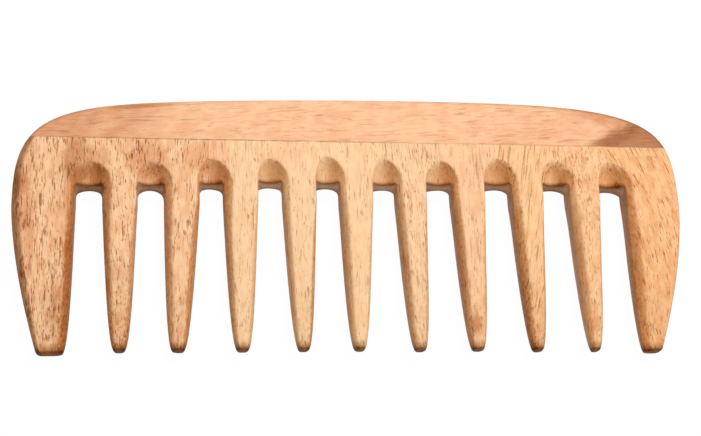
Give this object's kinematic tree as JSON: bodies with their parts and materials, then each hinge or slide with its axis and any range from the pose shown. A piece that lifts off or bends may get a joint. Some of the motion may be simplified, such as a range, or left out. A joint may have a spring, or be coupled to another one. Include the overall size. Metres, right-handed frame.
{
  "type": "wide-tooth wooden comb",
  "caption": "Wide-tooth wooden comb: round-edged teeth and a web above the gaps, glued into a grooved spine with a gently crowned back.",
  "frame": {"origin": "middle of the comb's outline on the plane of its back face", "axes": "+X along the length of the comb, +Y from the tooth tips to the spine, +Z out of the front face; the comb lies flat on its back"},
  "size_m": [0.1732, 0.069, 0.0086],
  "materials": {
    "spine_wood": "smooth sanded peach-brown hardwood with the grain along the comb, fine dark pores, low sheen",
    "stave_wood": "smooth sanded peach-brown hardwood with the grain along the teeth, short dark pores, browner where the flanks and tips are ground, low sheen"
  },
  "bodies": {
    "root": {"spine": "spine_wood", "tooth_01": "stave_wood", "tooth_02": "stave_wood", "tooth_03": "stave_wood", "tooth_04": "stave_wood", "tooth_05": "stave_wood", "tooth_06": "stave_wood", "tooth_07": "stave_wood", "tooth_08": "stave_wood", "tooth_09": "stave_wood", "tooth_10": "stave_wood", "tooth_11": "stave_wood"}
  },
  "joints": []
}
